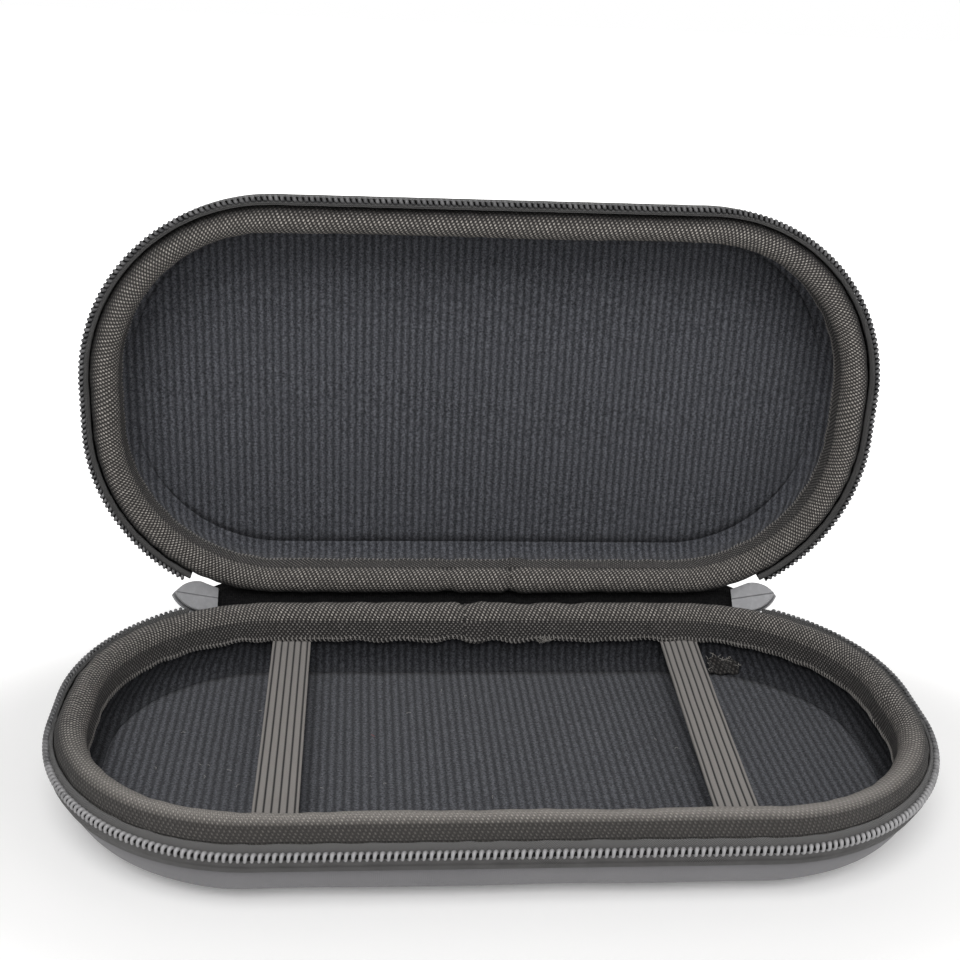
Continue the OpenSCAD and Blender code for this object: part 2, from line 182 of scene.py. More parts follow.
def grid_part(points, cloth, wrap_rows=False, wrap_columns=False, flip=False):
    """Quads over a grid of points (rows, columns, 3); cloth has one more row or column where it wraps"""
    rows, columns = points.shape[:2]
    steps = np.arange(rows - (not wrap_rows)), np.arange(columns - (not wrap_columns))
    i, j = (grid.ravel() for grid in np.meshgrid(*steps, indexing="ij"))
    after_i, after_j = (i + 1) % rows, (j + 1) % columns
    here, below = i * columns, after_i * columns
    quads = np.stack([here + j, below + j, below + after_j, here + after_j], -1)
    corners = np.stack([cloth[i, j], cloth[i + 1, j], cloth[i + 1, j + 1], cloth[i, j + 1]], 1)
    if flip:
        quads, corners = quads[:, ::-1], corners[:, ::-1]
    return points.reshape(-1, 3), quads.tolist(), corners.reshape(-1, 2)


def sweep_part(s, section, place, closed=True, flip=False):
    """A closed section, (stations, points, 2) of inset and height, carried round the outline"""
    s = np.asarray(s, float)
    section = np.broadcast_to(section, (len(s),) + section.shape[-2:])
    points = place(on_section(s[:, None], section[..., 0], section[..., 1]))
    loop = np.concatenate([section, section[:, :1]], 1)
    run = np.linalg.norm(np.diff(loop, axis=1), axis=-1).mean(0)
    across = np.concatenate([[0], np.cumsum(run)])
    along = np.append(s, s[0] + ROUND) if closed else np.append(s, s[-1])
    cloth = np.stack(np.meshgrid(along, across, indexing="ij"), -1)
    part = grid_part(points, cloth, wrap_rows=closed, wrap_columns=True, flip=flip)
    if not closed:
        count = section.shape[1]
        ends = [list(range(count)), list(range(len(s) * count - 1, (len(s) - 1) * count - 1, -1))]
        if flip:
            ends = [end[::-1] for end in ends]
        part = (part[0], part[1] + ends, np.concatenate([part[2], np.zeros((2 * count, 2))]))
    return part


def slab_part(top, bottom, cloth, flip=False):
    """A closed thin sheet from the grids of its two faces, with the cloth coordinates of both"""
    section = np.concatenate([top, bottom[:, ::-1]], 1)
    sheet = np.concatenate([cloth, cloth[:, ::-1], cloth[:, :1]], 1)
    sheet = np.concatenate([sheet, sheet[-1:]], 0)
    points, faces, corners = grid_part(section, sheet, wrap_columns=True, flip=flip)
    rows, count = section.shape[:2]
    ends = [list(range(count))[::-1], list(range((rows - 1) * count, rows * count))]
    if flip:
        ends = [end[::-1] for end in ends]
    return points, faces + ends, np.concatenate([corners, np.zeros((2 * count, 2))])


def tube_part(line, radius, side, sides=6):
    """A round thread along a line of points, with a side direction at each that isn't along it"""
    line = np.asarray(line, float)
    radius = np.broadcast_to(radius, len(line))
    along = np.gradient(line, axis=0)
    along /= np.linalg.norm(along, axis=1, keepdims=True)
    side = np.broadcast_to(side, line.shape)
    first = side - (side * along).sum(1, keepdims=True) * along
    first /= np.linalg.norm(first, axis=1, keepdims=True)
    second = np.cross(along, first)
    turn = np.linspace(0, 2 * math.pi, sides, endpoint=False)
    rings = (
        line[:, None]
        + radius[:, None, None] * np.cos(turn)[None, :, None] * first[:, None]
        + radius[:, None, None] * np.sin(turn)[None, :, None] * second[:, None]
    )
    step = np.concatenate([[0], np.cumsum(np.linalg.norm(np.diff(line, axis=0), axis=1))])
    cloth = np.stack(np.meshgrid(step, np.linspace(0, 1, sides + 1), indexing="ij"), -1)
    part = grid_part(rings, cloth, wrap_columns=True, flip=True)
    last = (len(line) - 1) * sides
    ends = [list(range(sides)), list(range(last + sides - 1, last - 1, -1))]
    return part[0], part[1] + ends, np.concatenate([part[2], np.zeros((2 * sides, 2))])


def thicken(line, thickness):
    """A closed section from an open line of (inset, height), with the thickness on its left"""
    along = np.gradient(line, axis=-2)
    along /= np.linalg.norm(along, axis=-1, keepdims=True)
    left = np.stack([-along[..., 1], along[..., 0]], -1)
    return np.concatenate([line, (line + thickness * left)[..., ::-1, :]], -2)


# Materials
class Field:
    """A number that varies over a surface: one output of a material's nodes"""

    def __init__(self, tree, socket):
        self.tree, self.socket = tree, socket

    def math(self, operation, *others):
        node = self.tree.nodes.new("ShaderNodeMath")
        node.operation = operation
        for slot, value in zip(node.inputs, (self, *others)):
            if isinstance(value, Field):
                self.tree.links.new(value.socket, slot)
            else:
                slot.default_value = value
        return Field(self.tree, node.outputs[0])

    def __add__(self, other):
        return self.math("ADD", other)

    def __sub__(self, other):
        return self.math("SUBTRACT", other)

    def __rsub__(self, other):
        return self.math("MULTIPLY", -1.0).math("ADD", other)

    def __mul__(self, other):
        return self.math("MULTIPLY", other)

    def __truediv__(self, other):
        return self.math("DIVIDE", other)

    def wave(self, period):
        """Half-sine humps of one period each, from 0 to 1"""
        return (self * (math.pi / period)).math("SINE").math("ABSOLUTE")

    def power(self, exponent):
        return self.math("POWER", exponent)

    def clamp(self, low, high):
        return self.math("MAXIMUM", low).math("MINIMUM", high)


# Painted light along the case's front: where it starts in -Y, in metres, and how fast it rises
FRONT_LIGHT_START, FRONT_LIGHT_RISE = 0.012, 26.0


class Surface:
    """A material in the making: its shader, its cloth coordinates and its noises"""

    def __init__(self, name, roughness, sheen=0.0, specular=0.3, metallic=0.0, coat=0.0):
        self.material = bpy.data.materials.new(name)
        self.material.use_nodes = True
        self.tree = self.material.node_tree
        self.shader = self.tree.nodes["Principled BSDF"]
        self.set("Roughness", roughness)
        self.set("Sheen Weight", sheen)
        self.set("Sheen Roughness", 0.6)
        self.set("Specular IOR Level", specular)
        self.set("Metallic", metallic)
        self.set("Coat Weight", coat)
        place = self.tree.nodes.new("ShaderNodeTexCoord")
        self.place = place.outputs["Object"]
        cloth = self.tree.nodes.new("ShaderNodeUVMap")
        cloth.uv_map = "cloth"
        apart = self.tree.nodes.new("ShaderNodeSeparateXYZ")
        self.tree.links.new(cloth.outputs[0], apart.inputs[0])
        self.along, self.across = (Field(self.tree, apart.outputs[k]) for k in (0, 1))

    def set(self, socket, value):
        self.shader.inputs[socket].default_value = value

    def painted_front_light(self):
        """Painted light, brighter towards the front: 0 at the case's middle, 1 along its front"""
        apart = self.tree.nodes.new("ShaderNodeSeparateXYZ")
        self.tree.links.new(self.place, apart.inputs[0])
        y = Field(self.tree, apart.outputs[1])
        return ((y + FRONT_LIGHT_START) * -FRONT_LIGHT_RISE).clamp(0, 1)

    def noise(self, size, detail=3.0, roughness=0.55, stretch=(1, 1, 1)):
        """Noise of a feature size in mm, about 0 to 1"""
        spread = self.tree.nodes.new("ShaderNodeMapping")
        spread.inputs["Scale"].default_value = stretch
        self.tree.links.new(self.place, spread.inputs["Vector"])
        node = self.tree.nodes.new("ShaderNodeTexNoise")
        node.inputs["Scale"].default_value = 1 / (size * MM)
        node.inputs["Detail"].default_value = detail
        node.inputs["Roughness"].default_value = roughness
        self.tree.links.new(spread.outputs[0], node.inputs["Vector"])
        return Field(self.tree, node.outputs[0])

    def cell_random(self, column, row):
        """One random number for each cell of the cloth"""
        join = self.tree.nodes.new("ShaderNodeCombineXYZ")
        self.tree.links.new(column.socket, join.inputs[0])
        self.tree.links.new(row.socket, join.inputs[1])
        node = self.tree.nodes.new("ShaderNodeTexWhiteNoise")
        node.noise_dimensions = "3D"
        self.tree.links.new(join.outputs[0], node.inputs["Vector"])
        return Field(self.tree, node.outputs["Value"])

    def mix(self, factor, low, high):
        """Colour between two, each a colour or the socket of one"""
        node = self.tree.nodes.new("ShaderNodeMix")
        node.data_type = "RGBA"
        self.tree.links.new(factor.clamp(0, 1).socket, node.inputs[0])
        for slot, colour in ((6, low), (7, high)):
            if isinstance(colour, tuple):
                node.inputs[slot].default_value = (*colour, 1)
            else:
                self.tree.links.new(colour, node.inputs[slot])
        return node.outputs[2]

    def colour(self, socket):
        self.tree.links.new(socket, self.shader.inputs["Base Color"])

    def rough(self, field):
        self.tree.links.new(field.clamp(0.05, 1).socket, self.shader.inputs["Roughness"])

    def bump(self, *layers):
        """Relief from pairs of a height field and its depth in mm"""
        normal = None
        for height, depth in layers:
            node = self.tree.nodes.new("ShaderNodeBump")
            node.inputs["Distance"].default_value = depth * MM
            self.tree.links.new(height.socket, node.inputs["Height"])
            if normal:
                self.tree.links.new(normal, node.inputs["Normal"])
            normal = node.outputs[0]
        self.tree.links.new(normal, self.shader.inputs["Normal"])

    def weave(self, thread_along, thread_across, skew=0.0):
        """Plain weave: its relief, which thread lies on top (0 or 1), and a random number per knot"""
        column = self.along / thread_along + self.across * (skew / thread_across)
        row = self.across / thread_across
        knot_column, knot_row = column.math("FLOOR"), row.math("FLOOR")
        on_top = ((knot_column + knot_row) * 0.5).math("FRACT") * 2.0
        relief = (column.wave(1.0) * row.wave(1.0)).power(0.6)
        return relief, on_top, self.cell_random(knot_column, knot_row)


def shell_material():
    """Smooth matt knit over moulded foam"""
    made = Surface("shell_foam", roughness=0.7, sheen=0.15, specular=0.35)
    mottle = made.noise(22, detail=4)
    grain = made.noise(0.35, detail=2)
    relief, _, _ = made.weave(0.45, 0.38)
    dust_and_front_light = made.mix((mottle - 0.35) * 2.2, (0.15, 0.147, 0.155), (0.19, 0.186, 0.195))
    made.colour(made.mix(grain * 0.35, dust_and_front_light, (0.25, 0.245, 0.257)))
    made.bump((relief, 0.05), (grain, 0.04), (made.noise(30), 0.5))
    return made.material


def lining_material(name, tone):
    """Ribbed brushed fleece, with its ribs across the case"""
    made = Surface(name, roughness=0.95, sheen=0.12 * tone, specular=0.05)
    stray = made.noise(1.3, detail=4, roughness=0.7)
    rib = (made.along + (stray - 0.5) * 1.7).wave(RIB_PITCH)
    fuzz = made.noise(0.55, detail=5, roughness=0.75)
    patch = made.noise(14, detail=3)
    shades = [
        (0.014, 0.0147, 0.018), (0.07, 0.073, 0.086), (0.03, 0.0315, 0.038), (0.215, 0.222, 0.25),
        (0.075, 0.078, 0.09),
    ]
    low, low_tip, high, high_tip, dust_and_front_light = (tuple(tone * c for c in shade) for shade in shades)
    tips = (fuzz - 0.36) * 3.2
    # The rib valleys are darker than the crests: painted shade
    cord = made.mix(rib.power(1.6), made.mix(tips, low, low_tip), made.mix(tips, high, high_tip))
    made.colour(made.mix((patch - 0.5) * 0.8, cord, dust_and_front_light))
    made.bump((rib, 0.25), (fuzz, 0.6))
    return made.material


# Painted shade on the binding's outer leg and the roll's lower outer side: where it ends across the tape
# and how far it fades, in mm
LEG_SHADE, SHADE_FADE = 6.5, 3.0


def binding_material(name, dark, light, skew):
    """Coarse basket weave of dark and cream threads, with painted shade on the outer leg and painted
    light towards the front
    """
    made = Surface(name, roughness=0.88, sheen=0.08, specular=0.15)
    relief, on_top, spot = made.weave(0.6, 0.7, skew)
    # Patchy wear of the pale threads
    wear_and_front_light = made.noise(9, detail=4)
    # Painted light towards the case's front
    dust_and_front_light = made.painted_front_light()
    fibre = made.noise(0.25, detail=2)
    pale = made.mix(spot * 0.75 + wear_and_front_light * 0.3, tuple(0.4 * c for c in light), light)
    # Painted shade on the outer leg and the roll's lower outer side: it dims the pale threads, the
    # flecks and the front light there
    in_light = ((made.across - LEG_SHADE) / SHADE_FADE).clamp(0.12, 1)
    thread = made.mix(on_top * relief.power(1.7) * 1.5 * in_light, dark, pale)
    # A pale tone for fibre flecks and for the painted front light, both held back in the painted shade
    dust_and_front_lit_tone = tuple(0.62 * c for c in light)
    made.colour(made.mix((fibre * 0.18 + dust_and_front_light * 0.7) * in_light, thread, dust_and_front_lit_tone))
    made.bump((relief, 0.3), (fibre, 0.06), (made.noise(5), 0.25))
    return made.material


def tape_material(name, tone):
    """Fuzzy herringbone of the zip tape"""
    made = Surface(name, roughness=0.92, sheen=0.15 * tone, specular=0.15 * tone)
    side = (made.along / 3.2).math("FRACT").math("GREATER_THAN", 0.5) * 2.0 - 1.0
    twill = (made.along + made.across * side).wave(0.55)
    fuzz = made.noise(0.3, detail=4, roughness=0.7)
    # Painted light towards the case's front
    wear_and_front_light = made.painted_front_light() * 0.2
    low, high = (0.02 * tone,) * 3, (0.2 * tone, 0.195 * tone, 0.192 * tone)
    made.colour(made.mix(twill * 0.6 + fuzz * 0.5 + wear_and_front_light - 0.3, low, high))
    made.bump((twill, 0.12), (fuzz, 0.15))
    return made.material


def coil_material():
    """Satin nylon filament"""
    made = Surface("zip_coil", roughness=0.38, specular=0.5)
    dust_and_front_lit_tone = made.noise(3, detail=4)
    # Painted light towards the case's front, over the dust
    front_light_share = made.painted_front_light()
    made.colour(made.mix((dust_and_front_lit_tone - 0.4) * 1.4 + front_light_share * 1.1, (0.035, 0.035, 0.037), (0.33, 0.325, 0.33)))
    made.rough(dust_and_front_lit_tone * 0.3 + 0.22)
    made.bump((made.noise(0.4), 0.03))
    return made.material


def hinge_material():
    """Dark woven cloth between the halves"""
    made = Surface("hinge_cloth", roughness=0.95, sheen=0.05, specular=0.05)
    relief, _, spot = made.weave(0.6, 0.5)
    made.colour(made.mix(relief * spot, (0.003, 0.003, 0.0035), (0.013, 0.0125, 0.0125)))
    made.bump((relief, 0.15), (made.noise(0.5), 0.1))
    return made.material


def metal_material(name, colour):
    """Cast metal under a fine matt coat"""
    made = Surface(name, roughness=0.5, specular=0.5, metallic=0.55)
    grain = made.noise(0.12, detail=2)
    wear = made.noise(1.6, detail=4)
    made.colour(made.mix((wear - 0.45) * 1.6, colour, tuple(1.35 * c for c in colour)))
    made.rough(grain * 0.3 + 0.35)
    made.bump((grain, 0.03), (wear, 0.04))
    return made.material


STRAP_W = 10.6
STRAP_RIBS = 5
STRAP_GROOVE = 0.35
STRAP_EDGE = 0.7
STRAP_RIB = (STRAP_W - 2 * STRAP_EDGE - (STRAP_RIBS + 1) * STRAP_GROOVE) / STRAP_RIBS


def elastic_material():
    """Knitted elastic webbing: short stitches across each rib"""
    made = Surface("strap_elastic", roughness=0.9, sheen=0.1, specular=0.15)
    stitch = (made.along + made.across * 0.6).wave(0.42)
    fibre = made.noise(0.2, detail=3)
    base = made.mix(stitch * 0.8 + fibre * 0.3, (0.16, 0.148, 0.138), (0.37, 0.345, 0.325))
    knit = made.mix(made.noise(6) * 0.5, base, (0.26, 0.243, 0.228))
    from_edge = STRAP_W / 2 - made.across.math("ABSOLUTE") - STRAP_EDGE
    groove = (from_edge - STRAP_GROOVE / 2).wave(STRAP_RIB + STRAP_GROOVE)
    # The grooves between the ribs are painted near black: painted shade
    made.colour(made.mix(groove * 2.6 - 0.55, (0.012, 0.011, 0.011), knit))
    made.bump((stitch, 0.1), (fibre, 0.06))
    return made.material


def fibre_material(name, colour):
    """Loose thread or lint"""
    made = Surface(name, roughness=0.85, sheen=0.3, specular=0.2)
    made.colour(made.mix(made.noise(0.8), colour, tuple(0.6 * c for c in colour)))
    return made.material


SHELL = shell_material()
LINING = lining_material("lining_fleece", 1.0)
# A darker copy of the lining for the base's walls: painted shade
LINING_WALL_SHADED = lining_material("lining_wall_painted_shade", 0.45)
BINDING = binding_material("binding_tape", (0.012, 0.011, 0.011), (0.62, 0.575, 0.53), 0.45)
# A darker copy of the binding for the inner flaps: painted shade
FLAP = binding_material("binding_flap_painted_shade", (0.008, 0.0075, 0.0075), (0.30, 0.28, 0.265), 0.2)
TAPE = tape_material("zip_tape", 1.0)
# A dark copy of the tape, behind the coil and in its core: painted shade
TAPE_BEHIND_SHADED = tape_material("tape_behind_coil_painted_shade", 0.12)
COIL = coil_material()
HINGE = hinge_material()
SLIDER = metal_material("slider_metal", (0.26, 0.26, 0.268))
PULL = metal_material("pull_metal", (0.2, 0.2, 0.208))
ELASTIC = elastic_material()
THREAD = fibre_material("frayed_thread", (0.36, 0.34, 0.31))
LINT = fibre_material("lint", (0.55, 0.53, 0.5))
RED_LINT = fibre_material("red_lint", (0.4, 0.05, 0.04))
FLAP_THREAD = fibre_material("overlock_thread", (0.3, 0.28, 0.262))


# Foam shells
PLUG_R = 1.5
PLUG_LAP = 0.3
PLUG_SUNK = 0.02


def foam_plug(half, place, inner_z):
    """The middle of the floor, which the swept ring leaves open, lapped a little under the ring"""
    plug_r = PLUG_R + PLUG_LAP
    x = (CORNER_X + plug_r) * np.sin(np.linspace(-math.pi / 2, math.pi / 2, 41))
    beyond = np.clip(np.abs(x) - CORNER_X, 0, plug_r)
    across = np.array([-1, -0.985, -0.5, 0, 0.5, 0.985, 1])
    y = (CORNER_Y + np.sqrt(plug_r ** 2 - beyond ** 2))[:, None] * across[None]
    cloth = np.stack([np.repeat(x[:, None], len(across), 1), y], -1)
    levels = inner_z - PLUG_SUNK, PLUG_SUNK
    upper, lower = (place(np.concatenate([cloth, np.full(y.shape + (1,), z)], -1)) for z in levels)
    return slab_part(upper, lower, cloth, flip=half == "base")


def build_shell(half, place):
    """Outer skin from under the binding, round the edge and over the floor, with the wall's thickness"""
    s = np.linspace(0, ROUND, 700, endpoint=False)
    turn = np.linspace(0, math.pi / 2, 16)
    wall = [(SHELL_INSET, z) for z in np.linspace(ROLL_Z, EDGE_RISE + 1, 5)]
    edge = [(SHELL_INSET + EDGE_RUN * (1 - math.cos(t)), EDGE_RISE * (1 - math.sin(t))) for t in turn]
    last = CORNER_R - PLUG_R
    floor_insets = [*np.linspace(SHELL_INSET + EDGE_RUN + 6, last - 0.05, 5), last]
    skin = np.array(wall + edge + [(inset, 0.0) for inset in floor_insets])
    under = LINING_EDGE_R + LINING_T + 0.4
    foot = LINING_INSET + LINING_EDGE_R, FLOOR_TOP + LINING_EDGE_R
    hollow = [(foot[0] - under * math.sin(t), foot[1] - under * math.cos(t)) for t in turn]
    inner_z = hollow[0][1]
    inner = np.array([(last, inner_z)] + hollow + [(hollow[-1][0], ROLL_Z)])
    section = np.repeat(np.concatenate([skin, inner])[None], len(s), 0)
    swell = 0.12 + 0.12 * wobble(s, 25, 90, 3 if half == "base" else 4)
    bent = turn[:-4]
    section[:, len(wall):len(wall) + len(bent), 0] += swell[:, None] * np.sin(2 * bent)[None]
    ring = sweep_part(s, section, place, flip=half == "base")
    parts = [ring, foam_plug(half, place, inner_z)]
    return make_piece(half + "_foam", parts, SHELL, half, [half + "_shell"])


# Fleece linings
RIB_RISE = 0.17
RIB_SUNK = 0.2
CORNER_SHARE = 0.9


def rib_height(u):
    """Rounded cords of the fleece, by the distance across them"""
    return RIB_RISE * np.abs(np.sin(math.pi * u / RIB_PITCH)) ** 0.8


def lining_size(climb):
    """Length and width in metres of the unfolded lining, with walls that climb so far"""
    foot = LINING_INSET + LINING_EDGE_R
    return 2 * (HALF_L - foot + climb) * MM, 2 * (HALF_W - foot + climb) * MM


def lining_floor(half, place):
    foot = LINING_INSET + LINING_EDGE_R
    reach = HALF_L - foot
    columns = np.linspace(-reach, reach, 2 * int(reach / RIB_PITCH * 6) + 1)
    beyond = np.clip(np.abs(columns) - CORNER_X, 0, None)
    half_width = CORNER_Y + np.sqrt(np.clip((CORNER_R - foot) ** 2 - beyond ** 2, 0, None))
    rows = np.linspace(-1, 1, 29)
    x = np.repeat(columns[:, None], len(rows), 1)
    y = half_width[:, None] * rows[None]
    swell = 0.1 * np.sin(x / 23 + 1) * np.cos(y / 17)
    top = np.stack([x, y, FLOOR_TOP + swell + rib_height(x) - RIB_SUNK], -1)
    cloth = np.stack([x, y], -1)
    return slab_part(place(top), place(top - [0, 0, LINING_T]), cloth, flip=half == "base")


def build_lining(half, place):
    """Ribbed floor, and walls swept round it, with cloth coordinates of the unfolded sheet"""
    floor = lining_floor(half, place)
    foot = LINING_INSET + LINING_EDGE_R
    s = np.linspace(0, ROUND, 1300, endpoint=False)
    turn = np.linspace(0, math.pi / 2, 7)
    arc = [(foot - LINING_EDGE_R * math.sin(t), FLOOR_TOP + LINING_EDGE_R * (1 - math.cos(t)))
           for t in turn]
    wall = [(LINING_INSET, z) for z in np.linspace(FLOOR_TOP + LINING_EDGE_R + 1, ROLL_Z, 6)]
    line = np.array(arc + wall)
    climb = np.concatenate([[0], np.cumsum(np.linalg.norm(np.diff(line, axis=0), axis=1))])
    centre, out, _ = on_route(s)
    sheet = centre[:, None] + out[:, None] * (CORNER_R - foot + climb)[None, :, None]
    along = np.gradient(line, axis=0)
    along /= np.linalg.norm(along, axis=1, keepdims=True)
    inward = np.stack([along[:, 1], -along[:, 0]], -1)
    relief = rib_height(sheet[..., 0]) * np.abs(out[:, 1:]) ** 2 - RIB_SUNK
    section = line[None] + relief[..., None] * inward[None]
    back = line - (LINING_T - RIB_SUNK) * inward
    section = np.concatenate([section, np.repeat(back[None, ::-1], len(s), 0)], 1)
    points = place(on_section(s[:, None], section[..., 0], section[..., 1]))
    sheet = np.concatenate([sheet, sheet[:, ::-1], sheet[:, :1]], 1)
    sheet = np.concatenate([sheet, sheet[:1]], 0)
    walls = grid_part(points, sheet, wrap_rows=True, wrap_columns=True, flip=half == "lid")
    name = half + "_fleece"
    piece = make_piece(name, [floor, walls], LINING, half, [half + "_lining"])
    # The base's walls take the darker copy of the lining, painted shade; the lid's walls keep the lining
    piece.data.materials.append(LINING_WALL_SHADED)
    wall_slot = int(half == "base")
    slots = [0] * len(floor[1]) + [wall_slot] * len(walls[1])
    piece.data.polygons.foreach_set("material_index", slots)
    size = lining_size(climb[-1])
    area = CORNER_SHARE * size[0] * size[1]
    return piece


# Bindings
BINDING_T = 0.6
LAPS = {"base": 4.5, "lid": ROUND - 9.0}


def binding_line(s, half):
    """The tape's outer surface in section: outer leg, padded roll and inner flap, with its puckers"""
    seed = 10 if half == "base" else 20
    turn = np.linspace(math.pi, 0, 25)
    leg = [(BINDING_INSET, z) for z in np.linspace(LEG_Z, ROLL_Z, 5)[:-1]]
    roll = [(ROLL_INSET + BINDING_R * math.cos(t), ROLL_Z + BINDING_R * math.sin(t)) for t in turn]
    flap = [(FLAP_INSET, z) for z in np.linspace(ROLL_Z, FLAP_Z, 10)[1:]]
    line = np.repeat(np.array(leg + roll + flap)[None], len(s), 0)
    share = np.linspace(0, 1, line.shape[1])
    from_back = np.abs((s + ROUND / 2) % ROUND - ROUND / 2)
    behind = np.clip(1.3 - from_back / 70, 0, 1)
    pinch = 0.14 + 0.08 * wobble(s, 5, 14, seed) + 0.12 * wobble(s, 30, 80, seed + 1)
    pinch = pinch + 0.3 * behind * np.clip(wobble(s, 9, 22, seed + 5), 0, 1.5)
    crease = 0.55 * np.exp(-((s - LAPS[half]) / 1.3) ** 2)
    middle = ROLL_INSET, ROLL_Z
    inward = middle - line[:, len(leg):len(leg) + len(roll)]
    inward /= np.linalg.norm(inward, axis=-1, keepdims=True)
    line[:, len(leg):len(leg) + len(roll)] += np.clip(pinch + crease, 0, 0.8)[:, None, None] * inward
    hang = np.clip((share - share[len(leg) + len(roll)]) / (1 - share[len(leg) + len(roll)]), 0, 1)
    back = np.clip(1 - from_back / 110, 0, 1) if half == "base" else 0 * s
    lean = 0.12 * wobble(s, 7, 16, seed + 2) + (0.45 + 0.4 * wobble(s, 6, 15, seed + 3)) * back
    line[..., 0] += hang[None] * lean[:, None]
    droop = 0.15 * wobble(s, 6, 20, seed + 4) + 0.35 * wobble(s, 10, 30, seed + 6) * back
    line[..., 1] += hang[None] * droop[:, None]
    return line


def build_binding(half, place):
    """Woven tape over the rim, with its two ends lapped"""
    start = LAPS[half]
    s = start + np.linspace(-3.5, ROUND, 950)
    wrapped = np.mod(s, ROUND)
    line = binding_line(wrapped, half)
    lifted = np.clip((s - (start + ROUND - 7)) / 2, 0, 1)
    middle = np.array([ROLL_INSET, ROLL_Z])
    away = line - middle
    away /= np.linalg.norm(away, axis=-1, keepdims=True)
    line = line + 0.28 * lifted[:, None, None] * away
    section = thicken(line, -BINDING_T)
    parts = [sweep_part(s, section, place, closed=False, flip=half == "base")]
    name = half + "_binding_cloth"
    piece = make_piece(name, parts, BINDING, half, [half + "_binding"])
    # The inner flap takes the darker copy of the binding: painted shade
    piece.data.materials.append(FLAP)
    count = line.shape[1]
    flap_from = count - 10
    per_station = 2 * count
    index = np.arange(len(piece.data.polygons))
    column = index % per_station
    inner_flap = (column >= flap_from) & (column < per_station - flap_from)
    piece.data.polygons.foreach_set("material_index", inner_flap.astype(np.int32))
    width = (ROLL_Z - LEG_Z) + math.pi * BINDING_R + (ROLL_Z - FLAP_Z)
    width * MM
    (ROUND - 2 * math.pi * ROLL_INSET + 8) * MM
    return piece


def build_overlock(half, place):
    """Looped edge stitches over the raw edge of the inner flap"""
    pitch, beats = 1.25, 8
    loops = int(ROUND / pitch)
    step = np.arange(loops * beats) / beats
    s = step * ROUND / loops
    line = binding_line(s, half)[:, -1]
    turn = 2 * math.pi * step
    inset = line[:, 0] - BINDING_T / 2 + 0.42 * np.cos(turn)
    height = line[:, 1] + 0.55 + 0.75 * np.sin(turn)
    points = place(on_section(s + 0.3 * np.cos(turn), inset, height))
    _, _, run = on_route(s)
    side = np.concatenate([run, np.zeros((len(run), 1))], 1)
    stitches = [tube_part(points, 0.17, side, 4)]
    return make_piece(half + "_overlock", stitches, FLAP_THREAD, half)


# Zips
SLIDER_X = 80.3
SLIDER_L = 12.4
SLIDER_PATH_R = CORNER_R - COIL_T / 2
SLIDER_TURN = math.asin((SLIDER_X - CORNER_X) / SLIDER_PATH_R)
NOSE_TURN = math.asin((SLIDER_X + SLIDER_L / 2 * math.cos(SLIDER_TURN) - CORNER_X) / SLIDER_PATH_R)
ZIP_START = CORNER_X + CORNER_R * (NOSE_TURN + 0.6 / SLIDER_PATH_R)
COIL_TUCK = 3.2
TAPE_TUCK = 5.0
COIL_DEPTH = 1.9
CORE_R = 0.5


def slumped(points, half):
    """The base's open zip has sunk towards the front."""
    if half == "lid":
        return points
    drop = SLUMP * (HALF_W - points[..., 1]) / (2 * HALF_W)
    return points - np.stack([0 * drop, 0 * drop, drop], -1)


def build_coil(half, place):
    """A wound filament with one flattened turn for each tooth, thick at its head, on a core in the
    tape's dark copy, painted shade
    """
    start = ZIP_START - COIL_TUCK
    turns = int((ROUND - 2 * start) / COIL_PITCH)
    beats = 12
    step = np.arange(turns * beats + 1) / beats
    s = start + step * (ROUND - 2 * start) / turns
    turn = 2 * math.pi * step
    s = s - 0.85 * np.sin(turn) * COIL_PITCH / (2 * math.pi)
    head = np.clip(np.sin(turn), 0, None) ** 2
    radius = 0.4 + 0.14 * head
    inset = COIL_DEPTH / 2 - (COIL_DEPTH / 2 - 0.42) * np.cos(turn)
    middle = HALF_H - PARTING_GAP - COIL_W / 2
    height = middle + (COIL_W / 2 - 0.54) * np.sin(turn)
    points = place(slumped(on_section(s, inset, height), half))
    _, _, run = on_route(s)
    side = np.concatenate([run, np.zeros((len(run), 1))], 1)
    core_s = np.linspace(s[0], s[-1], 420)
    core = place(slumped(on_section(core_s, COIL_DEPTH / 2, middle), half))
    core_side = [0, 0, 1] if half == "base" else [0, 1, 0]
    parts = [tube_part(points, radius, side, 7), tube_part(core, CORE_R, core_side, 8)]
    piece = make_piece(half + "_coil", parts, COIL, half, [half + "_zip_coil"])
    # The core takes the tape's dark copy: painted shade
    piece.data.materials.append(TAPE_BEHIND_SHADED)
    slots = [0] * len(parts[0][1]) + [1] * len(parts[1][1])
    piece.data.polygons.foreach_set("material_index", slots)
    return piece


COIL_COLUMN = 3


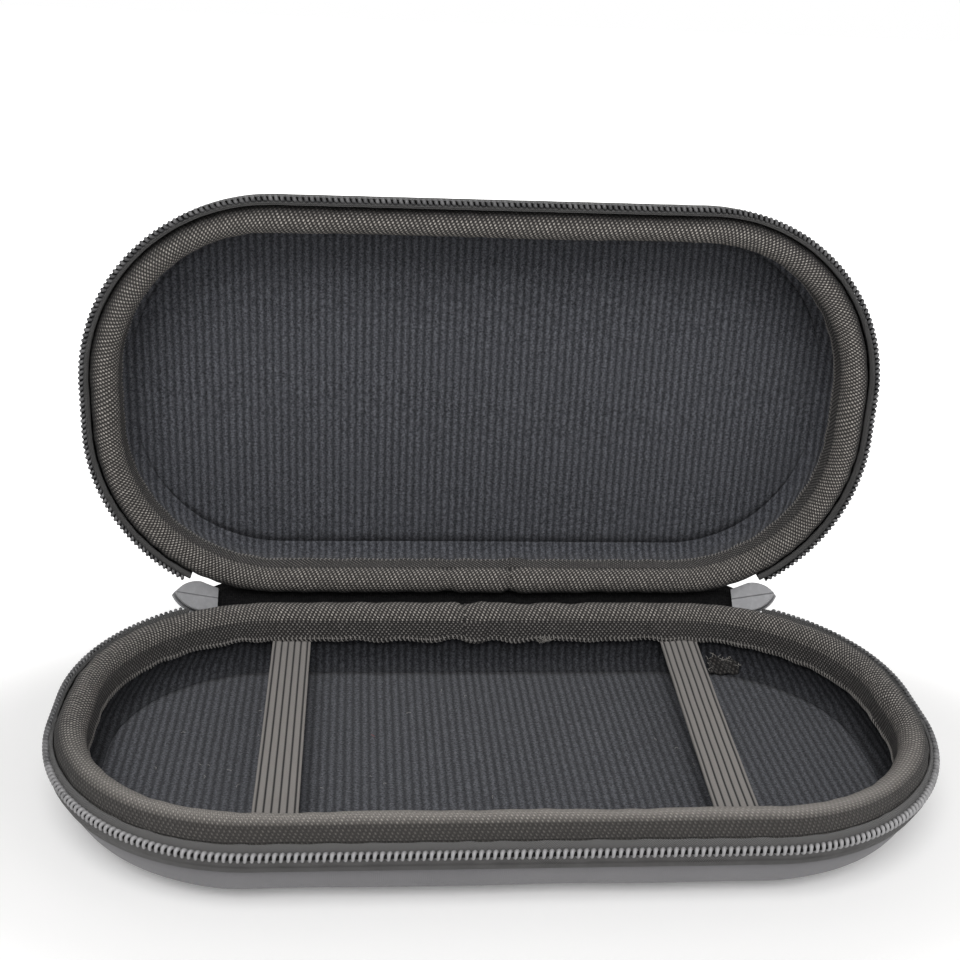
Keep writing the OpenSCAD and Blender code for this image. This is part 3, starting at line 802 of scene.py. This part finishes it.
def build_tape(half, place):
    """Zip tape from the seam under the roll, out and down to the coil, and on down the wall"""
    s = np.linspace(ZIP_START - TAPE_TUCK, ROUND - ZIP_START + TAPE_TUCK, 560)
    centre, out, _ = on_route(s)
    y = (centre + out * CORNER_R)[:, 1]
    drop = (SLUMP * (HALF_W - y) / (2 * HALF_W)) if half == "base" else 0 * y
    top = HALF_H - PARTING_GAP - 0.25 - drop
    seam = np.minimum(top + 1.2, 20.6)
    ripple = 0.1 * wobble(s, 5, 12, 31)
    inner = BINDING_INSET - 0.05
    behind = COIL_DEPTH + 0.05
    low = box_mm("base_zip_tape")[0][UP]
    columns = [
        (inner, seam),
        (inner - 0.2, seam - 0.2 + ripple),
        (behind + 0.1, top + ripple),
        (behind, top - 0.6),
        (behind, top - COIL_W + 0.3),
        (behind - 0.5, top - COIL_W - 1.2),
        (behind - 0.3, low + 2.4 + ripple),
        (SHELL_INSET - 0.75, low + 0.2 + 0 * s),
    ]
    line = np.stack([np.stack([0 * s + inset, height], -1) for inset, height in columns], 1)
    section = thicken(line, -0.4)
    part = sweep_part(s, section, place, closed=False, flip=half == "base")
    piece = make_piece(half + "_tape_cloth", [part], TAPE, half, [half + "_zip_tape"])
    # The band of tape behind the coil takes its dark copy: painted shade
    piece.data.materials.append(TAPE_BEHIND_SHADED)
    column = np.arange(len(piece.data.polygons)) % section.shape[1]
    piece.data.polygons.foreach_set("material_index", (column == COIL_COLUMN).astype(np.int32))
    return piece


# Hinge cloth
HINGE_L = 146.0
TONGUE_L = 3.6
TONGUE_BEND = 0.8


def hinge_line():
    """The cloth's middle line across the gap, as (y, z): base leg, bridge and lid leg"""
    wall = HALF_W - BINDING_INSET + 0.5
    reach = BINDING_R + 0.5
    roll = [
        LID_FOLD_Y + (ROLL_INSET - (HALF_W - FOLD_Y)) * math.sin(OPEN - math.pi / 2),
        LID_FOLD_Z + (ROLL_INSET - (HALF_W - FOLD_Y)) * math.cos(OPEN - math.pi / 2),
    ]
    out = np.array([math.sin(OPEN), math.cos(OPEN)])
    under = np.array([math.cos(OPEN), -math.sin(OPEN)]) * reach
    return np.array([
        [wall, ROLL_Z - 6], [wall, ROLL_Z - 0.8], roll + under + out * 1.6, roll + under + out * 6,
    ])


def build_hinge():
    """Two plies of cloth, lapped over the bridge: one sewn to the base and one to the lid"""
    line = hinge_line()
    reach = HINGE_L / 2 + TONGUE_L
    x = np.linspace(-reach, reach, 160)
    beyond = np.clip(np.abs(x) - HINGE_L / 2, 0, TONGUE_L) / TONGUE_L
    plies = {"hinge_cloth_low": ([0, 1, 2], -0.12), "hinge_cloth_high": ([1, 2, 3], 0.16)}
    made = []
    for number, (name, (corners, lift)) in enumerate(plies.items()):
        points = line[corners]
        share = np.linspace(0, 2, 19)
        path = np.stack([np.interp(share, range(3), points[:, k]) for k in (0, 1)], -1)
        path[1:-1] = (path[:-2] + 2 * path[1:-1] + path[2:]) / 4
        along = np.gradient(path, axis=0)
        along /= np.linalg.norm(along, axis=1, keepdims=True)
        normal = np.stack([-along[:, 1], along[:, 0]], -1)
        pucker = 0.08 * np.sin(x[:, None] / 2.3 + 3 * share[None] + number)
        layers = []
        joined = line[1:3].mean(0)
        tapered = joined + (path[None] - joined) * (1 - 0.2 * beyond)[:, None, None]
        tapered = tapered - TONGUE_BEND * (beyond ** 2)[:, None, None] * np.array([1.0, 0.1])
        for depth in (0.13, -0.13):
            flat = tapered + (lift + depth + pucker)[..., None] * normal[None]
            layers.append(np.concatenate([np.repeat(x[:, None, None], len(path), 1), flat], -1))
        run = np.concatenate([[0], np.cumsum(np.linalg.norm(np.diff(path, axis=0), axis=1))])
        cloth = np.stack(np.meshgrid(x, run, indexing="ij"), -1)
        piece = make_piece(name, [slab_part(*layers, cloth)], HINGE, None)
        made.append(piece)
    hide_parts("hinge_strip")
    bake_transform(made[0])
    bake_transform(made[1])


# Elastic straps
STRAP_ENDS = {"left": (-53.0, -53.0), "right": (52.6, 57.4)}


def build_strap(side, front_x, back_x):
    """Ribbed elastic from under the front flap to under the back one, with a slight sag"""
    low, high = box_mm(side + "_strap")
    step = STRAP_RIB + STRAP_GROOVE
    rib_starts = [STRAP_EDGE + STRAP_GROOVE + i * step for i in range(STRAP_RIBS)]
    starts = [0] + rib_starts + [STRAP_W - STRAP_EDGE]
    spans = [STRAP_EDGE] + [STRAP_RIB] * STRAP_RIBS + [STRAP_EDGE]
    across, rise = [], []
    for start, span in zip(starts, spans):
        for t in np.linspace(0, 1, 7):
            across.append(start + span * t - STRAP_W / 2)
            rise.append(0.5 * math.sin(math.pi * (0.12 + 0.76 * t)) ** 0.6)
    across, rise = np.array(across), np.array(rise)
    y = np.linspace(low[1], high[1], 90)
    share = (y - y[0]) / (y[-1] - y[0])
    middle = front_x + (back_x - front_x) * share
    height = (low[UP] + high[UP]) / 2 - 0.35 * np.sin(math.pi * share) + 0.05 * np.sin(y / 3.1)
    top = np.stack([
        middle[:, None] + across[None] * (1 - 0.012 * np.sin(math.pi * share))[:, None],
        np.repeat(y[:, None], len(across), 1),
        height[:, None] + rise[None],
    ], -1)
    bottom = top.copy()
    bottom[..., UP] = height[:, None] - rise[None]
    cloth = np.stack(np.meshgrid(y, across, indexing="ij"), -1)
    part = slab_part(top, bottom, cloth, flip=True)
    piece = make_piece(side + "_elastic", [part], ELASTIC, "base", [side + "_strap"])


# Frayed scrap, tuft and lint
SCRAP_THREADS = 26
LINT_REACH = 36


def build_scrap():
    """Crumpled end of woven tape with loose threads along its frayed edge"""
    low, high = box_mm("tape_scrap")
    draw = np.random.default_rng(5)
    a = np.linspace(0, 1, 18)
    b = np.linspace(0, 1, 10)
    u, v = np.meshgrid(a, b, indexing="ij")
    x = low[0] + (high[0] - low[0]) * u
    y = low[1] + 0.5 + (high[1] - low[1] - 1.4) * v + 0.5 * np.sin(9 * u) * (0.4 + v)
    z = low[UP] + 0.2 + (high[UP] - low[UP] - 0.7) * v ** 0.8 + 0.35 * np.sin(13 * u + 4 * v)
    upper = np.stack([x, y, z], -1)
    cloth = np.stack([u * 8.5, v * 4], -1)
    part = slab_part(upper, upper + [0, 0.25, -0.3], cloth)
    scrap = make_piece("scrap_cloth", [part], BINDING, "base", ["tape_scrap"])
    threads = []
    for _ in range(SCRAP_THREADS):
        t = draw.uniform(0, 1)
        i = int(t * 17)
        frayed = draw.uniform() < 0.7
        start = upper[i, -1] if frayed else upper[0 if t < 0.5 else -1, int(9 * draw.uniform())]
        way = np.array([draw.normal(0, 0.6), draw.normal(-0.3, 0.5), draw.uniform(0.2, 1.0)])
        curl = np.array([draw.normal(0, 0.5), draw.normal(0, 0.4), 0])
        k = np.linspace(0, 1, 7)[:, None]
        threads.append(tube_part(start + k * way * 1.2 + k ** 2 * curl, 0.1, [0.3, 1, 0.2], 4))
    make_piece("scrap_threads", threads, THREAD, "base")


def fibres(name, places, length, radius, seed, material, body="base", flat=1.0):
    """Small curled fibres at places"""
    draw = np.random.default_rng(seed)
    parts = []
    for place in places:
        heading = draw.uniform(0, 2 * math.pi)
        bend = draw.uniform(-2.5, 2.5)
        span = length * draw.uniform(0.5, 1.3)
        k = np.linspace(0, 1, 8)
        turn = heading + bend * k
        step = span / 8
        x = np.cumsum(np.cos(turn)) * step
        y = np.cumsum(np.sin(turn)) * step * flat
        z = 0.15 + 0.2 * np.sin(math.pi * k) + (1 - flat) * span * k
        parts.append(tube_part(np.array(place) + np.stack([x, y, z], -1), radius, [0.1, 0.2, 1], 4))
    return make_piece(name, parts, material, body)


def in_floor(x, y):
    """Whether a spot lies on the flat of the lining"""
    return math.hypot(max(abs(x) - CORNER_X, 0), max(abs(y) - CORNER_Y, 0)) < LINT_REACH


def build_lint():
    draw = np.random.default_rng(77)
    z = FLOOR_TOP + 0.1
    spots = [(draw.uniform(-85, 85), draw.uniform(-38, 38), z) for _ in range(34)]
    fibres("lint_fibres", [spot for spot in spots if in_floor(*spot[:2])], 1.5, 0.045, 8, LINT)
    red_spots = [(25.5, -43.5, z), (-31.0, 12.0, z)]
    fibres("red_lint_fibres", red_spots, 1.3, 0.07, 9, RED_LINT)
    root = np.array([18.4, FOLD_Y - 6.4, FLAP_Z - 0.2])
    tuft = [root + [draw.normal(0, 0.7), draw.normal(0, 0.3), draw.normal(0, 0.3)] for _ in range(22)]
    fibres("tuft_fibres", tuft, 2.6, 0.06, 10, THREAD, flat=0.6)


for half_name, place_half in HALVES.items():
    build_shell(half_name, place_half)
    build_lining(half_name, place_half)
    build_binding(half_name, place_half)
    build_overlock(half_name, place_half)
    build_coil(half_name, place_half)
    build_tape(half_name, place_half)
build_hinge()
for side_name, ends in STRAP_ENDS.items():
    build_strap(side_name, *ends)
build_scrap()
build_lint()

for side_name in ("left", "right"):
    for part_name, metal in (("_slider", SLIDER), ("_pull", PULL)):
        for held in frame["nodes"][side_name + part_name].material_slots:
            held.material = metal


# Floor, light and camera
def looking_ray(nodes, links):
    """1 for what the camera, a gloss or a glass sees, and 0 for light"""
    ray = nodes.new("ShaderNodeLightPath")
    seen = ray.outputs["Is Camera Ray"]
    for kind in ("Is Glossy Ray", "Is Transmission Ray"):
        either = nodes.new("ShaderNodeMath")
        either.operation = "MAXIMUM"
        links.new(seen, either.inputs[0])
        links.new(ray.outputs[kind], either.inputs[1])
        seen = either.outputs[0]
    return seen


FLOOR_SIDE = 4.0
FLOOR_COLOUR = 0.92, 0.915, 0.91, 1
GLOW_NARROW = 0.6, 1.0, 1.0
GLOW = {"From Min": 0.08, "From Max": 0.15, "To Min": 0.16, "To Max": 1.15}
SKY_LIGHT = 0.36


def build_floor():
    """White floor that keeps the contact shadow: it glows more with distance from the case"""
    mesh = bpy.data.meshes.new("studio_floor")
    corners = [(x * FLOOR_SIDE, y * FLOOR_SIDE, 0) for x, y in ((-1, -1), (1, -1), (1, 1), (-1, 1))]
    mesh.from_pydata(corners, [], [(0, 1, 2, 3)])
    floor = bpy.data.objects.new("studio_floor", mesh)
    bpy.context.scene.collection.objects.link(floor)
    material = bpy.data.materials.new("studio_floor")
    material.use_nodes = True
    nodes, links = material.node_tree.nodes, material.node_tree.links
    shader = nodes["Principled BSDF"]
    shader.inputs["Base Color"].default_value = FLOOR_COLOUR
    shader.inputs["Roughness"].default_value = 0.9
    glow = nodes.new("ShaderNodeEmission")
    place = nodes.new("ShaderNodeTexCoord")
    narrow = nodes.new("ShaderNodeVectorMath")
    narrow.operation = "MULTIPLY"
    narrow.inputs[1].default_value = GLOW_NARROW
    length = nodes.new("ShaderNodeVectorMath")
    length.operation = "LENGTH"
    rise = nodes.new("ShaderNodeMapRange")
    rise.interpolation_type = "SMOOTHSTEP"
    for socket, value in GLOW.items():
        rise.inputs[socket].default_value = value
    links.new(place.outputs["Object"], narrow.inputs[0])
    links.new(narrow.outputs[0], length.inputs[0])
    links.new(length.outputs["Value"], rise.inputs["Value"])
    links.new(rise.outputs[0], glow.inputs["Strength"])
    seen = nodes.new("ShaderNodeMixShader")
    lit = nodes.new("ShaderNodeAddShader")
    links.new(shader.outputs[0], lit.inputs[0])
    links.new(glow.outputs[0], lit.inputs[1])
    links.new(looking_ray(nodes, links), seen.inputs[0])
    links.new(shader.outputs[0], seen.inputs[1])
    links.new(lit.outputs[0], seen.inputs[2])
    links.new(seen.outputs[0], nodes["Material Output"].inputs["Surface"])
    mesh.materials.append(material)


def build_world():
    """White behind the object for the camera, gloss and glass, and a dimmer sky as light"""
    world = bpy.data.worlds.new("studio")
    bpy.context.scene.world = world
    world.use_nodes = True
    nodes, links = world.node_tree.nodes, world.node_tree.links
    back = nodes["Background"]
    back.inputs[0].default_value = (1, 1, 1, 1)
    scale = nodes.new("ShaderNodeMapRange")
    scale.inputs["To Min"].default_value = SKY_LIGHT
    scale.inputs["To Max"].default_value = 1.0
    links.new(looking_ray(nodes, links), scale.inputs["Value"])
    links.new(scale.outputs[0], back.inputs[1])


def area_lamp(name, place, target, size, power):
    light = bpy.data.lights.new(name, "AREA")
    light.shape = "DISK"
    light.size = size
    light.energy = power
    lamp = bpy.data.objects.new(name, light)
    lamp.location = place
    direction = np.array(target) - np.array(place)
    lamp.rotation_euler = Vector(direction).to_track_quat("-Z", "Y").to_euler()
    bpy.context.scene.collection.objects.link(lamp)


CAMERA_PLACE = -0.035498, -0.306734, 0.196864


def build_camera():
    """The photograph's own view, from its perspective"""
    focal_px, frame_px, sensor = 1400.5, 960, 36.0
    pitch, yaw, roll = math.radians(20.62), math.radians(5.41), math.radians(2.44)
    data = bpy.data.cameras.new("camera")
    data.sensor_width = sensor
    data.lens = focal_px / frame_px * sensor
    camera = bpy.data.objects.new("camera", data)
    turns = (-yaw, "Z"), (math.pi / 2 - pitch, "X"), (roll, "Z")
    first, second, third = (Matrix.Rotation(angle, 4, axis) for angle, axis in turns)
    camera.matrix_world = Matrix.Translation(CAMERA_PLACE) @ first @ second @ third
    bpy.context.scene.collection.objects.link(camera)
    bpy.context.scene.camera = camera


build_floor()
build_world()
area_lamp("key", (-0.15, -0.75, 1.0), (0, 0, 0.03), 0.8, 9.5)
area_lamp("fill", (0.7, -0.6, 0.5), (0, 0, 0.05), 0.8, 1.5)
build_camera()
bpy.context.scene.view_settings.view_transform = "Standard"
